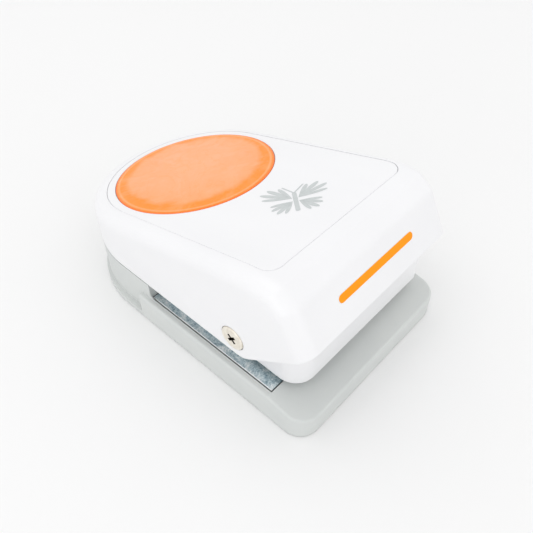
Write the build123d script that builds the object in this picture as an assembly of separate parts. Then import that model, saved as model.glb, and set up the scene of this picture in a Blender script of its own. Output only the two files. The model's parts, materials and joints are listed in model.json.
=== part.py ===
from build123d import *
from math import atan, cos, sin
import os

# A lever paper punch: a flat base carries a steel die plate, a white head holds the punch above
# the paper slot, and a long lever with a palm pad presses the punch through the die.
# Millimetres. X is the width, +Z is up, the marked nose of the lever faces -Y.
# The origin is under the middle of the punch. Depths are measured back from the base's nose
# and turned into Y by from_nose().

# ---- overall ----
LENGTH = 128.4
BASE_HALF_WIDTH = 40.0
LEVER_HALF_WIDTH = 38.0
FEET_STAND_OUT = 0.3
# Cutters reach this far, clear of the whole punch.
BEYOND = 100.0
# Parts of one moulding run into each other by this much.
OVERLAP = 0.5

# ---- base ----
DECK_Z = 12.15
NOSE_DECK_Z = 9.35
CREASE_DEPTH = 16.0
BASE_CORNER_R = 7.4
BASE_RIM_R = 1.0
LIP_Z = 2.7
STEP_DEPTH = 80.0
WALL_DEPTH = 75.5
WALL_TOP_Z = 19.3
WALL_FOOT_R = 2.5
WELL_HALF_WIDTH = 34.0
WELL_FRONT_DEPTH = 60.0
BASE_WALL = 2.6
BASE_FLOOR_Z = 6.0
CHUTE_HALF_WIDTH = 23.5
CHUTE_DEPTHS = (38.5, 77.5)
CHUTE_WALL = 2.5
RIB_X = (-18.0, 0.0, 18.0)
RIB_HALF_WIDTH = 1.0
RIB_FOOT_Z = 1.0
POST_R = 3.4
POST_FOOT_Z = 1.5
PILOT_FOOT_Z = 3.0

# ---- die plate and paper slot ----
SHEET = 2.0
DIE_TOP_Z = 11.95
DIE_FRONT_DEPTH = 16.35
DIE_SHOULDER_DEPTH = 75.4
DIE_TAIL_START_DEPTH = 70.0
DIE_END_DEPTH = 100.0
DIE_HALF_WIDTH = 37.0
DIE_TAIL_HALF_WIDTH = 33.0
POCKET_GAP = 0.55
POCKET_SHOULDER_GAP = 0.3
DIE_EDGE_R = 0.25
SLOT_GAP = 2.2
THROAT_DEPTH = 86.0
SPACER_HALF_WIDTH = 28.0
GUIDE_GAP = 0.4

# ---- punch ----
PUNCH_DEPTH = 58.0
DIE_CLEARANCE = 0.05
PUNCH_ENTRY = 0.8
PUNCH_HEIGHT = 10.0
CARRIER_SIZE = (55.0, 36.0, 3.0)
CARRIER_CORNER_R = 3.0
WINGS = ((9.5, 8.5, 9.5), (7.5, -7.0, 7.5))
WING_BODY = (5.0, 26.0)
WING_THORAX = (0.3, 5.5)
GUIDE_PIN_X = 24.0
GUIDE_PIN_R = 2.0
GUIDE_PIN_TOP_Z = 31.0
EDGE_CHAMFER = 0.5

# ---- head ----
HEAD_HALF_WIDTH = 32.9
HEAD_WING_X = 35.4
HEAD_WING_END_DEPTH = 22.0
HEAD_WING_CORNER_R = 1.5
HEAD_FRONT_DEPTH = 8.6
HEAD_END_DEPTH = 86.0
HEAD_CORNER_R = 8.0
HEAD_WALL = 1.8
HEAD_CEILING_Z = 31.9
HEAD_TOP_Z = 33.7
HEAD_WINDOW = (30.0, 34.0)
HEAD_TOP_R = 1.2
HEAD_RIM_R = 0.6
HEAD_OPEN_DEPTH = 80.0
HEAD_GAP = 0.3
HEAD_PIN_GAP = 0.6

# ---- pivot ----
PIVOT_DEPTH = 32.3
PIVOT_Z = 27.0
PIN_R = 3.0
RUNNING_FIT = 0.05
BUSH_R = 3.8
BUSH_FLANGE_R = 4.4
BUSH_FLANGE_WIDTH = 1.0
CHEEK_OUTER_X = 30.4
CHEEK_REACH = 7.0
CHEEK_TOP_Z = 31.7
CHEEK_BACK_Z = 23.0
CHEEK_SHOULDER_DEPTH = 48.3
CHEEK_END_DEPTHS = (80.0, 96.0)
CHEEK_CORNER_R = 4.0
CHEEK_FOOT = 8.0
BOSS_FACE_X = 33.4
BOSS_R = 6.0
SCREW_HEAD_R = 4.6
SCREW_SHANK_R = 2.0
SCREW_SEAT = 1.0
SEAT_GAP = 0.25
SCREW_HEAD_HEIGHT = 1.5
SCREW_HEAD_EDGE_R = 0.6
PIN_BORE_DEPTH = 8.0

# ---- lever ----
TOP_SLOPE = 0.285
TOP_Z_AT_NOSE = 67.7
NOSE_FACE_TOP = (10.2, 55.9)
NOSE_FACE_FOOT = (2.3, 41.5)
NOSE_CREST = (16.0, 60.15)
CREST_R = 2.0
SHOULDER_R = 4.0
ROLL_START_DEPTH = 29.0
SKIRT_Z = 19.8
SKIRT_RISE_DEPTH = 28.0
SKIRT_BEND_R = 8.0
LEVER_PLAN_START = -5.0
LEVER_EDGE_R = 5.5
LEVER_WALL = 2.0
LEVER_ROOF = 3.9
INNER_EDGE_R = 3.4

# ---- panel and palm pad ----
PANEL_FRONT_DEPTH = 21.0
PANEL_FRONT_HALF_WIDTH = 32.8
PANEL_TAIL_R = 32.4
PANEL_TAIL_DEPTH = 90.5
PANEL_CORNER_R = 5.0
PANEL_THICKNESS = 2.0
GROOVE = 0.08
GROOVE_EDGE_R = 0.4
PAD_DEPTH = 89.1
PAD_SEMI_AXES = (29.5, 32.1)
PAD_GAP = 0.15
PAD_RECESS = 1.3
PAD_STAND_OUT = 1.0
PAD_EDGE_R = 0.9

# ---- press roller ----
ROLLER_R = 4.5
ROLLER_WIDTH = 12.0
ROLLER_BORE_R = 2.0
ROLLER_GAP = 0.3
BRACKET_SHEET = 1.5
BRACKET_HALF_WIDTH = 10.0
BRACKET_HALF_DEPTH = 12.5
EAR_DROP = 4.0
EAR_END_R = 3.5
ROLLER_PIN_STAND_OUT = 0.4
ROLLER_PIN_CHAMFER = 0.3

# ---- latch ----
LATCH_TRAVEL = 6.0
LATCH_BUTTON = (8.0, 4.0)
LATCH_SLOT_Z = 15.0
LATCH_START_X = -3.0
LATCH_GAP = 0.35
THUMB_RECESS = (28.0, 6.4)
LATCH_SINK = 0.2
LATCH_CAP_RIM = 0.8
LATCH_CAP_GAP = 0.3
LATCH_CHAMFER = 0.4
LATCH_PLATE = (14.0, 2.4, 5.0)
LATCH_PLATE_END_DEPTH = 122.0
LATCH_HOOK_WIDTH = 6.0
LATCH_HOOK_Z = (23.8, 25.6)
LATCH_HOOK_REACH = 2.6
LATCH_POCKET_DEPTH = 126.9
LUG_X = (-2.0, 4.0)
LUG_Z = (21.3, 23.3)
LUG_GAP = 0.6

# ---- fasteners and small parts ----
DIE_SCREW_SPOTS = [(x, depth) for depth in (22.0, 81.5) for x in (-28.5, 28.5)]
FOOT_SPOTS = [(-29.0, 10.5), (29.0, 10.5), (-22.0, 106.0), (22.0, 106.0)]
CHEEK_SCREW_SPOTS = [(x, depth) for depth in (38.5, 91.0) for x in (-24.5, 24.5)]
HEAD_SCREW_SPOTS = [(-25.0, 16.5), (25.0, 16.5), (-12.0, 81.0), (12.0, 81.0)]
PUNCH_SCREW_SPOTS = [(0.0, 48.5), (-10.5, 66.0), (10.5, 66.0)]
PANEL_SCREW_SPOTS = [(-22.0, 38.0), (22.0, 38.0), (-25.0, 64.0), (25.0, 64.0)]
BRACKET_SCREW_SPOTS = [(0.0, 48.5), (0.0, 67.5)]
RIVET_X = (-16.0, 0.0, 16.0)
RIVET_DEPTH = 94.0
RIVET_R = 2.0
RIVET_HEAD_HEIGHT = 1.2
RIVET_HEAD_EDGE_R = 0.8
CSK_HEAD_R = 2.8
CSK_SHANK_R = 1.3
CSK_HEIGHT = 1.5
SCREW_GAP = 0.05
SCREW_CUT = 8.0
SCREW_END_GAP = 1.0
CROSS_SHARE = 0.55
CSK_CROSS = (1.6, 1.0)
PAN_CROSS = (1.2, 0.7)
PIVOT_CROSS = (2.0, 1.1)
DIE_SCREW_LENGTH = 8.0
HEAD_SCREW_LENGTH = 9.0
HEAD_POST_R = 3.2
PAN_HEAD_R = 2.2
PAN_HEAD_HEIGHT = 1.2
PAN_HEAD_EDGE_R = 0.5
PAN_SHANK_R = 1.1
PAN_ROOT = 1.0
PAN_GRIP = 1.4
FOOT_R = 4.95
FOOT_HEIGHT = 1.6
FOOT_SEAT_R = 6.4
SPRING_WIRE = 1.0
SPRING_R = 3.2
SPRING_TURNS = 3.5
PANEL_SCREW_LENGTH = 3.0
PANEL_SCREW_END_GAP = 0.2
BRACKET_SCREW_FLOAT = 0.02

# ---- derived ----
TAIL_Y = LENGTH / 2 - LEVER_HALF_WIDTH
LIP_TAIL_Y = LENGTH / 2 - BASE_HALF_WIDTH
DIE_BOTTOM_Z = DIE_TOP_Z - SHEET
GUIDE_BOTTOM_Z = DIE_TOP_Z + SLOT_GAP
GUIDE_TOP_Z = GUIDE_BOTTOM_Z + SHEET
GUIDE_HALF_WIDTH = HEAD_HALF_WIDTH - HEAD_WALL - GUIDE_GAP
GUIDE_FRONT_DEPTH = HEAD_FRONT_DEPTH + HEAD_WALL + GUIDE_GAP
PUNCH_BOTTOM_Z = DIE_TOP_Z - PUNCH_ENTRY
CARRIER_Z = PUNCH_BOTTOM_Z + PUNCH_HEIGHT
CARRIER_TOP_Z = CARRIER_Z + CARRIER_SIZE[2]
ROLLER_Z = CARRIER_TOP_Z + ROLLER_GAP + ROLLER_R
NOSE_DECK_SLOPE = (DECK_Z - NOSE_DECK_Z) / CREASE_DEPTH


def from_nose(depth):
    """Y of a point this far back from the base's nose."""
    return depth - LENGTH / 2


def top_z(depth):
    """Height of the lever's sloping top at a depth."""
    return TOP_Z_AT_NOSE - TOP_SLOPE * depth


def solid_box(x_range, depth_range, z_range):
    """Block between two X, two depths and two heights."""
    size = [b - a for a, b in (x_range, depth_range, z_range)]
    centre = [(a + b) / 2 for a, b in (x_range, depth_range, z_range)]
    return Pos(centre[0], from_nose(centre[1]), centre[2]) * Box(*size)


def upright(radius, x, depth, z_range):
    """Vertical round bar."""
    low, high = z_range
    bar = Cylinder(radius, high - low, align=(Align.CENTER, Align.CENTER, Align.MIN))
    return Pos(x, from_nose(depth), low) * bar


def crosswise(radius, x_range, depth, z):
    """Round bar along X."""
    low, high = x_range
    bar = Rot(0, 90, 0) * Cylinder(radius, high - low)
    return Pos((low + high) / 2, from_nose(depth), z) * bar


def prism(face, z_range):
    """Flat outline raised between two heights."""
    low, high = z_range
    return Pos(0, 0, low) * extrude(face, high - low, dir=(0, 0, 1))


def across(face_points, half_width):
    """Side outline, given as (depth, z) points, swept across the width."""
    points = [(from_nose(depth), z) for depth, z in face_points]
    face = make_face(Plane.YZ * Polyline(*points, close=True))
    return extrude(face, half_width, both=True)


def round_tail(half_width, front_depth, tail_y, corner_r=0.0):
    """Plan outline with a half-round tail and, given a radius, two rounded front corners."""
    front = from_nose(front_depth)
    body = Pos(0, (front + tail_y) / 2) * Rectangle(2 * half_width, tail_y - front)
    if corner_r > 0:
        body = fillet(body.vertices().group_by(Axis.Y)[0], corner_r)
    return body + Pos(0, tail_y) * Circle(half_width)


def both_sides(solid):
    """A solid and its mirror image in the middle plane."""
    return [solid, mirror(solid, Plane.YZ)]


def save(node, *solids):
    """Write one named piece, or a group of identical pieces."""
    shape = solids[0] if len(solids) == 1 else Compound(children=list(solids))
    export_step(shape, os.path.join("parts", node + ".step"))


# ---- shared outlines ----
def butterfly(clearance):
    """The cut shape: four round wings on a narrow body."""
    width, height = WING_BODY
    shape = SlotOverall(height, width + 2 * clearance, rotation=90)
    thorax_y, thorax_r = WING_THORAX
    shape += Pos(0, thorax_y) * Circle(thorax_r + clearance)
    for x, y, radius in WINGS:
        for side in (-1, 1):
            shape += Pos(side * x, y) * Circle(radius + clearance)
    return Pos(0, from_nose(PUNCH_DEPTH)) * shape


def lever_side_profile(drop):
    """Side view of the lever's outer skin, moved down by drop."""
    crest_depth, crest_z = NOSE_CREST
    with BuildSketch(Plane.YZ) as sketch:
        with BuildLine():
            tail = (LENGTH / 2 + 1, top_z(LENGTH + 1) - drop)
            start = (from_nose(ROLL_START_DEPTH), top_z(ROLL_START_DEPTH) - drop)
            crest = (from_nose(crest_depth), crest_z - drop)
            shoulder = (from_nose(NOSE_FACE_TOP[0]), NOSE_FACE_TOP[1] - drop)
            foot = (from_nose(NOSE_FACE_FOOT[0]), NOSE_FACE_FOOT[1] - drop)
            bend = (from_nose(SKIRT_RISE_DEPTH), SKIRT_Z)
            Line(tail, start)
            TangentArc(start, crest, tangent=(start[0] - tail[0], start[1] - tail[1]))
            Line(crest, shoulder)
            Line(shoulder, foot)
            Polyline(foot, bend, (tail[0], SKIRT_Z), tail)
        make_face()
        for corner, radius in ((crest, CREST_R), (shoulder, SHOULDER_R), (bend, SKIRT_BEND_R)):
            fillet([v for v in sketch.vertices() if is_near(v, corner)], radius)
    return sketch.sketch


def is_near(vertex, spot):
    """True if a vertex of the flat side view lies at a (Y, Z) spot."""
    return abs(vertex.X - spot[0]) < 0.01 and abs(vertex.Y - spot[1]) < 0.01


def panel_outline(margin):
    """Plan outline of the top panel: a taper that ends in a half circle."""
    front = from_nose(PANEL_FRONT_DEPTH) - margin
    tail = from_nose(PANEL_TAIL_DEPTH)
    front_half = PANEL_FRONT_HALF_WIDTH + margin
    radius = PANEL_TAIL_R + margin
    taper = make_face(
        Polyline((-front_half, front), (front_half, front), (radius, tail), (-radius, tail), close=True)
    )
    corners = taper.vertices().group_by(Axis.Y)[0]
    return fillet(corners, PANEL_CORNER_R) + Pos(0, tail) * Circle(radius)


def pad_plane(lift):
    """Plane of the lever's top at the palm pad, raised along its normal."""
    normal = Vector(0, sin(atan(TOP_SLOPE)), cos(atan(TOP_SLOPE)))
    origin = Vector(0, from_nose(PAD_DEPTH), top_z(PAD_DEPTH)) + normal * lift
    return Plane(origin=origin, x_dir=(1, 0, 0), z_dir=normal)


# ---- base ----
def make_base():
    """Grey moulded base: sloping nose, deck, lip and the wall round its tail."""
    base = make_base_blank()
    base -= prism(round_tail(WELL_HALF_WIDTH, WELL_FRONT_DEPTH, TAIL_Y), (DECK_Z, BEYOND))
    base -= cut_die_pocket()
    base -= cut_underside()
    base -= cut_latch_slot()
    for x, depth in DIE_SCREW_SPOTS:
        base += upright(POST_R, x, depth, (POST_FOOT_Z, BASE_FLOOR_Z + OVERLAP))
        base -= upright(CSK_SHANK_R, x, depth, (PILOT_FOOT_Z, DECK_Z + 1))
    for x, depth in FOOT_SPOTS:
        base += upright(FOOT_SEAT_R, x, depth, (FEET_STAND_OUT, BASE_FLOOR_Z + OVERLAP))
        base -= upright(FOOT_R + RUNNING_FIT, x, depth, (0, FOOT_HEIGHT))
    return base


def make_base_blank():
    """The base before it is hollowed: slab, thin lip and solid tail block."""
    low = FEET_STAND_OUT
    slab = prism(round_tail(BASE_HALF_WIDTH, 0, LIP_TAIL_Y, BASE_CORNER_R), (low, DECK_Z))
    over_nose = [
        (-1, NOSE_DECK_Z - NOSE_DECK_SLOPE),
        (CREASE_DEPTH, DECK_Z),
        (CREASE_DEPTH, BEYOND),
        (-1, BEYOND),
    ]
    slab -= across(over_nose, BEYOND)
    rim = [e for e in slab.edges() if e.center().Z > NOSE_DECK_Z - 1 and not is_crease(e)]
    slab = fillet(rim, BASE_RIM_R)
    slab -= solid_box((-BEYOND, BEYOND), (STEP_DEPTH, LENGTH + BEYOND), (LIP_Z, BEYOND))
    blank = slab + prism(round_tail(LEVER_HALF_WIDTH, WALL_DEPTH, TAIL_Y), (low, WALL_TOP_Z))
    return fillet([e for e in blank.edges() if is_wall_foot(e)], WALL_FOOT_R)


def is_crease(edge):
    """The straight crease where the sloping nose meets the level deck."""
    straight = edge.length > 2 * BASE_HALF_WIDTH - 2
    return straight and abs(edge.center().Y - from_nose(CREASE_DEPTH)) < 0.1


def is_wall_foot(edge):
    """The corner where the deck runs into the front of the tail wall."""
    centre = edge.center()
    return abs(centre.Z - DECK_Z) < 0.05 and abs(centre.Y - from_nose(WALL_DEPTH)) < 0.05


def cut_die_pocket():
    """Recess that holds the die plate level with the deck."""
    half = DIE_HALF_WIDTH + POCKET_GAP
    depths = (DIE_FRONT_DEPTH - POCKET_GAP, DIE_SHOULDER_DEPTH + POCKET_SHOULDER_GAP)
    pocket = solid_box((-half, half), depths, (DIE_BOTTOM_Z, BEYOND))
    tail_half = DIE_TAIL_HALF_WIDTH + POCKET_GAP
    tail_depths = (DIE_TAIL_START_DEPTH, DIE_END_DEPTH + POCKET_GAP)
    return pocket + solid_box((-tail_half, tail_half), tail_depths, (DIE_BOTTOM_Z, BEYOND))


def cut_underside():
    """Hollow under the floor, round the chute that the cut shapes fall through."""
    outline = round_tail(BASE_HALF_WIDTH - BASE_WALL, BASE_WALL, LIP_TAIL_Y, BASE_CORNER_R - BASE_WALL)
    hollow = prism(outline, (0, BASE_FLOOR_Z))
    hollow -= solid_box((-BEYOND, BEYOND), (STEP_DEPTH - BASE_WALL, LENGTH + BEYOND), (0, BEYOND))
    tail = round_tail(LEVER_HALF_WIDTH - BASE_WALL, WALL_DEPTH - BASE_WALL, TAIL_Y)
    hollow += prism(tail, (0, BASE_FLOOR_Z))
    front, back = CHUTE_DEPTHS
    wall_half = CHUTE_HALF_WIDTH + CHUTE_WALL
    wall_depths = (front - CHUTE_WALL, back + CHUTE_WALL)
    hollow -= solid_box((-wall_half, wall_half), wall_depths, (RIB_FOOT_Z, BEYOND))
    for x in RIB_X:
        rib_x = (x - RIB_HALF_WIDTH, x + RIB_HALF_WIDTH)
        hollow -= solid_box(rib_x, (0, LENGTH), (RIB_FOOT_Z, BEYOND))
    return hollow + solid_box((-CHUTE_HALF_WIDTH, CHUTE_HALF_WIDTH), CHUTE_DEPTHS, (-1, BEYOND))


def cut_latch_slot():
    """Thumb recess and slot for the latch in the tail wall."""
    width, height = LATCH_BUTTON
    reach = (width + LATCH_TRAVEL) / 2 + LATCH_GAP
    half = height / 2 + LATCH_GAP
    slot_z = (LATCH_SLOT_Z - half, LATCH_SLOT_Z + half)
    slot = solid_box((-reach, reach), (LATCH_PLATE_END_DEPTH, LENGTH + 1), slot_z)
    recess_width, recess_height = THUMB_RECESS
    recess_x = (-recess_width / 2, recess_width / 2)
    recess_z = (LATCH_SLOT_Z - recess_height / 2, LATCH_SLOT_Z + recess_height / 2)
    return slot + solid_box(recess_x, (LATCH_POCKET_DEPTH, LENGTH + 1), recess_z)


def make_feet():
    """Four round rubber feet let into the underside."""
    return [upright(FOOT_R, x, depth, (0, FOOT_HEIGHT)) for x, depth in FOOT_SPOTS]


# ---- steel frame ----
def make_die_plate():
    """Steel plate with the butterfly opening."""
    z_range = (DIE_BOTTOM_Z, DIE_TOP_Z)
    main = (-DIE_HALF_WIDTH, DIE_HALF_WIDTH)
    plate = solid_box(main, (DIE_FRONT_DEPTH, DIE_SHOULDER_DEPTH), z_range)
    tail = (-DIE_TAIL_HALF_WIDTH, DIE_TAIL_HALF_WIDTH)
    plate += solid_box(tail, (DIE_TAIL_START_DEPTH, DIE_END_DEPTH), z_range)
    plate = fillet(plate.faces().sort_by(Axis.Z)[-1].edges(), DIE_EDGE_R)
    plate -= prism(butterfly(DIE_CLEARANCE), (DIE_BOTTOM_Z - 1, DIE_TOP_Z + 1))
    for x, depth in DIE_SCREW_SPOTS:
        plate -= flat_head_screw(x, depth, DIE_TOP_Z, SCREW_CUT, gap=SCREW_GAP)
    for x in RIVET_X:
        plate -= upright(RIVET_R, x, RIVET_DEPTH, (DIE_BOTTOM_Z - 1, DIE_TOP_Z + 1))
    return plate


def flat_head_screw(x, depth, face_z, length, gap=0.0, shank_up=False):
    """Countersunk M3 screw, its head level with face_z; with a gap it is the cutter for its seat."""
    head = Pos(0, 0, -CSK_HEIGHT / 2) * Cone(CSK_SHANK_R + gap, CSK_HEAD_R + gap, CSK_HEIGHT)
    shank = Pos(0, 0, -length / 2) * Cylinder(CSK_SHANK_R + gap, length)
    screw = head + shank
    if gap == 0.0:
        screw -= cross_recess(*CSK_CROSS)
    if shank_up:
        screw = Rot(180, 0, 0) * screw
    return Pos(x, from_nose(depth), face_z) * screw


def cross_recess(half_span, depth):
    """Cross-head driver recess, cut down from z = 0."""
    slot = CROSS_SHARE * half_span
    return Box(2 * half_span, slot, 2 * depth) + Box(slot, 2 * half_span, 2 * depth)


def make_die_screws():
    """Four screws that hold the die plate in the base."""
    return [flat_head_screw(x, depth, DIE_TOP_Z, DIE_SCREW_LENGTH) for x, depth in DIE_SCREW_SPOTS]


def make_throat_spacer():
    """Bar between the two plates; it sets the paper slot and stops the paper."""
    half = SPACER_HALF_WIDTH
    spacer = solid_box((-half, half), (THROAT_DEPTH, DIE_END_DEPTH), (DIE_TOP_Z, GUIDE_BOTTOM_Z))
    for x in RIVET_X:
        spacer -= upright(RIVET_R, x, RIVET_DEPTH, (DIE_TOP_Z - 1, GUIDE_TOP_Z))
    return spacer


def make_guide_plate():
    """Upper steel plate that guides the punch and strips the paper off it."""
    half = GUIDE_HALF_WIDTH
    plate = solid_box((-half, half), (GUIDE_FRONT_DEPTH, DIE_END_DEPTH), (GUIDE_BOTTOM_Z, GUIDE_TOP_Z))
    front_corners = plate.edges().filter_by(Axis.Z).group_by(Axis.Y)[0]
    plate = fillet(front_corners, HEAD_CORNER_R - HEAD_WALL)
    through = (GUIDE_BOTTOM_Z - 1, GUIDE_TOP_Z + 1)
    plate -= prism(butterfly(DIE_CLEARANCE), through)
    for x in RIVET_X:
        plate -= upright(RIVET_R, x, RIVET_DEPTH, through)
    for side in (-1, 1):
        plate -= upright(GUIDE_PIN_R, side * GUIDE_PIN_X, PUNCH_DEPTH, through)
    for x, depth in HEAD_SCREW_SPOTS + CHEEK_SCREW_SPOTS:
        plate -= flat_head_screw(x, depth, GUIDE_BOTTOM_Z, SCREW_CUT, gap=SCREW_GAP, shank_up=True)
    return plate


def make_frame_rivets():
    """Rivets through both plates and the spacer."""
    rivets = []
    for x in RIVET_X:
        rivet = upright(RIVET_R, x, RIVET_DEPTH, (DIE_BOTTOM_Z, GUIDE_TOP_Z))
        head_z = (GUIDE_TOP_Z, GUIDE_TOP_Z + RIVET_HEAD_HEIGHT)
        rivet += upright(2 * RIVET_R, x, RIVET_DEPTH, head_z)
        rivets.append(fillet(rivet.edges().group_by(Axis.Z)[-1], RIVET_HEAD_EDGE_R))
    return rivets


def make_cheek():
    """Right upright of the punch frame: it carries the pivot, on two feet turned inward."""
    inner_x = CHEEK_OUTER_X - SHEET
    outline = [
        (PIVOT_DEPTH - CHEEK_REACH, GUIDE_TOP_Z),
        (PIVOT_DEPTH - CHEEK_REACH, CHEEK_TOP_Z),
        (PIVOT_DEPTH + CHEEK_REACH, CHEEK_TOP_Z),
        (CHEEK_SHOULDER_DEPTH, CHEEK_BACK_Z),
        (CHEEK_END_DEPTHS[0], CHEEK_BACK_Z),
        (CHEEK_END_DEPTHS[1], GUIDE_TOP_Z),
    ]
    cheek = Pos(inner_x + SHEET / 2, 0, 0) * across(outline, SHEET / 2)
    upper = cheek.edges().filter_by(Axis.X).group_by(Axis.Z)[-1]
    cheek = fillet(upper, CHEEK_CORNER_R)
    half = CHEEK_FOOT / 2
    for x, depth in CHEEK_SCREW_SPOTS:
        if x > 0:
            foot = (depth - half, depth + half)
            cheek += solid_box((x - half, inner_x), foot, (GUIDE_TOP_Z, GUIDE_TOP_Z + SHEET))
            hole = (GUIDE_TOP_Z - 1, GUIDE_TOP_Z + SHEET + 1)
            cheek -= upright(CSK_SHANK_R + SCREW_GAP, x, depth, hole)
    cheek -= crosswise(BUSH_R, (inner_x - 1, CHEEK_OUTER_X + 1), PIVOT_DEPTH, PIVOT_Z)
    return cheek


def make_cheek_screws():
    """Screws that pull the uprights down on the guide plate."""
    length = 2 * SHEET
    return [
        flat_head_screw(x, depth, GUIDE_BOTTOM_Z, length, shank_up=True) for x, depth in CHEEK_SCREW_SPOTS
    ]


def make_bush():
    """Right flanged nylon bush that the pivot pin turns in."""
    inner_x = CHEEK_OUTER_X - SHEET
    bush = crosswise(BUSH_R, (inner_x, CHEEK_OUTER_X), PIVOT_DEPTH, PIVOT_Z)
    bush += crosswise(BUSH_FLANGE_R, (inner_x - BUSH_FLANGE_WIDTH, inner_x), PIVOT_DEPTH, PIVOT_Z)
    return bush - crosswise(PIN_R + RUNNING_FIT, (0, BEYOND), PIVOT_DEPTH, PIVOT_Z)


def make_guide_pins():
    """Two posts on the guide plate that keep the carrier level."""
    pins = []
    for side in (-1, 1):
        z_range = (GUIDE_BOTTOM_Z, GUIDE_PIN_TOP_Z)
        pin = upright(GUIDE_PIN_R, side * GUIDE_PIN_X, PUNCH_DEPTH, z_range)
        pins.append(chamfer(pin.edges().group_by(Axis.Z)[-1], EDGE_CHAMFER))
    return pins


def make_return_springs():
    """Two springs round the guide pins; they lift the carrier and, through it, the lever."""
    low = GUIDE_TOP_Z + SPRING_WIRE / 2
    high = CARRIER_Z - SPRING_WIRE / 2
    springs = []
    for side in (-1, 1):
        path = Helix(pitch=(high - low) / SPRING_TURNS, height=high - low, radius=SPRING_R)
        wire = Plane(origin=path @ 0, z_dir=path % 0) * Circle(SPRING_WIRE / 2)
        coil = sweep(wire, path=path)
        springs.append(Pos(side * GUIDE_PIN_X, from_nose(PUNCH_DEPTH), low) * coil)
    return springs


# ---- punch ----
def make_punch():
    """Hardened butterfly punch, resting just inside the die."""
    return prism(butterfly(0.0), (PUNCH_BOTTOM_Z, CARRIER_Z))


def make_carrier():
    """Plate on top of the punch that the roller presses on."""
    width, depth, height = CARRIER_SIZE
    plate = Pos(0, from_nose(PUNCH_DEPTH), CARRIER_Z + height / 2) * Box(width, depth, height)
    plate = fillet(plate.edges().filter_by(Axis.Z), CARRIER_CORNER_R)
    for side in (-1, 1):
        hole = (CARRIER_Z - 1, CARRIER_TOP_Z + 1)
        plate -= upright(GUIDE_PIN_R + RUNNING_FIT, side * GUIDE_PIN_X, PUNCH_DEPTH, hole)
    for x, depth in PUNCH_SCREW_SPOTS:
        plate -= flat_head_screw(x, depth, CARRIER_TOP_Z, SCREW_CUT, gap=SCREW_GAP)
    return plate


def make_punch_screws():
    """Screws that join the punch to its carrier; the heads lie level with the top."""
    length = CARRIER_SIZE[2]
    return [flat_head_screw(x, depth, CARRIER_TOP_Z, length) for x, depth in PUNCH_SCREW_SPOTS]


# ---- head ----
def head_outline(margin):
    """Plan outline of the head: rounded at the left, reaching further out at the front right."""
    front = from_nose(HEAD_FRONT_DEPTH) + margin
    tail = from_nose(HEAD_END_DEPTH) - margin
    size = (2 * (HEAD_HALF_WIDTH - margin), tail - front)
    body = Pos(0, (front + tail) / 2) * RectangleRounded(*size, HEAD_CORNER_R - margin)
    wing_end = from_nose(HEAD_WING_END_DEPTH) - margin
    wing_size = (HEAD_WING_X - margin, wing_end - front)
    wing = Pos(wing_size[0] / 2, (front + wing_end) / 2) * Rectangle(*wing_size)
    outer_corners = wing.vertices().group_by(Axis.X)[-1]
    return body + fillet(outer_corners, HEAD_WING_CORNER_R)


def make_head():
    """White shell over the punch frame, open below and windowed on top for the roller."""
    head = prism(head_outline(0), (GUIDE_BOTTOM_Z, HEAD_TOP_Z))
    head = fillet(head.faces().sort_by(Axis.Z)[-1].edges(), HEAD_TOP_R)
    head = fillet(head.faces().sort_by(Axis.Z)[0].edges(), HEAD_RIM_R)
    head -= prism(head_outline(HEAD_WALL), (GUIDE_BOTTOM_Z - 1, HEAD_CEILING_Z))
    head -= solid_box((-BEYOND, BEYOND), (HEAD_OPEN_DEPTH, LENGTH), (0, GUIDE_TOP_Z + HEAD_GAP))
    cheek_slot_x = (CHEEK_OUTER_X - SHEET - HEAD_GAP, CHEEK_OUTER_X + HEAD_GAP)
    for slot in both_sides(solid_box(cheek_slot_x, (HEAD_OPEN_DEPTH, LENGTH), (0, CHEEK_BACK_Z + 1))):
        head -= slot
    for x, depth in HEAD_SCREW_SPOTS:
        head += upright(HEAD_POST_R, x, depth, (GUIDE_TOP_Z, HEAD_CEILING_Z + OVERLAP))
        head -= upright(CSK_SHANK_R, x, depth, (GUIDE_TOP_Z - 1, GUIDE_TOP_Z + HEAD_SCREW_LENGTH))
    width, depth = HEAD_WINDOW
    window = (PUNCH_DEPTH - depth / 2, PUNCH_DEPTH + depth / 2)
    head -= solid_box((-width / 2, width / 2), window, (HEAD_CEILING_Z - 1, HEAD_TOP_Z + 1))
    return head - crosswise(PIN_R + HEAD_PIN_GAP, (-BEYOND, BEYOND), PIVOT_DEPTH, PIVOT_Z)


def make_head_screws():
    """Screws from under the guide plate into the head's posts."""
    length = SHEET + HEAD_SCREW_LENGTH - SCREW_END_GAP
    return [
        flat_head_screw(x, depth, GUIDE_BOTTOM_Z, length, shank_up=True) for x, depth in HEAD_SCREW_SPOTS
    ]


# ---- lever ----
def lever_form(margin, drop):
    """The lever's solid form, its walls moved in by margin and its top moved down by drop."""
    plan = round_tail(LEVER_HALF_WIDTH - margin, LEVER_PLAN_START, TAIL_Y)
    return prism(plan, (0, BEYOND)) & extrude(lever_side_profile(drop), BEYOND, both=True)


def round_rim(form, radius):
    """Round the long top edge and the nose corners, leaving the open lower rim sharp."""
    rim = []
    for edge in form.edges():
        centre = edge.center()
        if centre.Z > edge_floor(centre.Y) and not runs_across(edge):
            rim.append(edge)
    return fillet(rim, radius)


def edge_floor(y):
    """Height that the open lower rim of the lever stays under at this Y."""
    depth = y + LENGTH / 2
    rise = (NOSE_FACE_FOOT[1] - SKIRT_Z) / (SKIRT_RISE_DEPTH - NOSE_FACE_FOOT[0])
    return max(SKIRT_Z + 10.0, NOSE_FACE_FOOT[1] - rise * (depth - NOSE_FACE_FOOT[0]) + 2.0)


def runs_across(edge):
    """True for a straight edge along X."""
    return edge.geom_type == GeomType.LINE and abs(edge.tangent_at(0.5).X) > 0.99


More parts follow.
